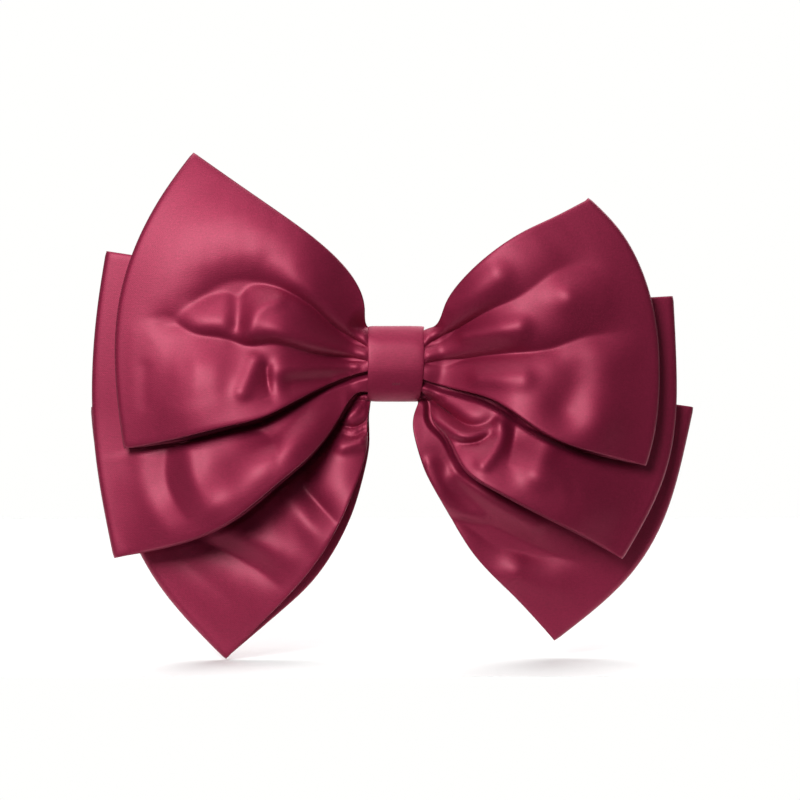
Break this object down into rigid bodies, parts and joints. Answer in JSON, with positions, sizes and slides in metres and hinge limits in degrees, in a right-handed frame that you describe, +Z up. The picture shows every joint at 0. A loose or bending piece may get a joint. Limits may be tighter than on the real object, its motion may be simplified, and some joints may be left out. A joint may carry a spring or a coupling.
{
  "type": "hair bow",
  "caption": "Layered satin hair bow with gathered loops and a folded centre wrap, mounted on a sprung French barrette that opens.",
  "frame": {"origin": "middle of the hair channel, between the barrette's tension strip and clasp arm, behind the bow's centre wrap", "axes": "+X to the right seen from the bow's face, along the barrette; +Y from the bow's face towards the hair; +Z up"},
  "size_m": [0.2195, 0.0488, 0.1834],
  "materials": {
    "satin": "burgundy satin, soft sheen",
    "thread": "matching sewing thread",
    "plated_steel": "nickel plate, lightly handled",
    "spring_steel": "nickel-plated spring steel"
  },
  "bodies": {
    "bow": {"top_band": "satin", "middle_band": "satin", "bottom_band": "satin", "binding_thread": "thread", "centre_wrap": "satin", "wrap_stitches": "thread", "barrette_base": "plated_steel", "hinge_pin": "plated_steel", "catch_bracket": "spring_steel", "catch_rivet": "plated_steel"},
    "clasp_arm": {"clasp_arm": "plated_steel"},
    "tension_strip": {"tension_strip": "spring_steel"},
    "release_prong_upper": {"release_prong_upper": "spring_steel"},
    "release_prong_lower": {"release_prong_lower": "spring_steel"}
  },
  "joints": [
    {"name": "clasp_hinge", "type": "hinge", "parent": "bow", "child": "clasp_arm", "pos_m": [0.0346, 0.0029, 0], "axis": [0, 0, -1], "range_deg": [0, 80]},
    {"name": "tension_strip_flex", "type": "hinge", "parent": "bow", "child": "tension_strip", "pos_m": [0.0346, 0.0029, 0], "axis": [0, 0, 1], "range_deg": [0, 1.2], "stiffness_Nm_per_rad": 0.08},
    {"name": "upper_prong_pinch", "type": "hinge", "parent": "bow", "child": "release_prong_upper", "pos_m": [-0.034, -0.0026, 0.0016], "axis": [-1, 0, 0], "range_deg": [0, 5], "stiffness_Nm_per_rad": 0.05},
    {"name": "lower_prong_pinch", "type": "hinge", "parent": "bow", "child": "release_prong_lower", "pos_m": [-0.034, -0.0026, -0.0016], "axis": [1, 0, 0], "range_deg": [0, 5], "stiffness_Nm_per_rad": 0.05}
  ]
}
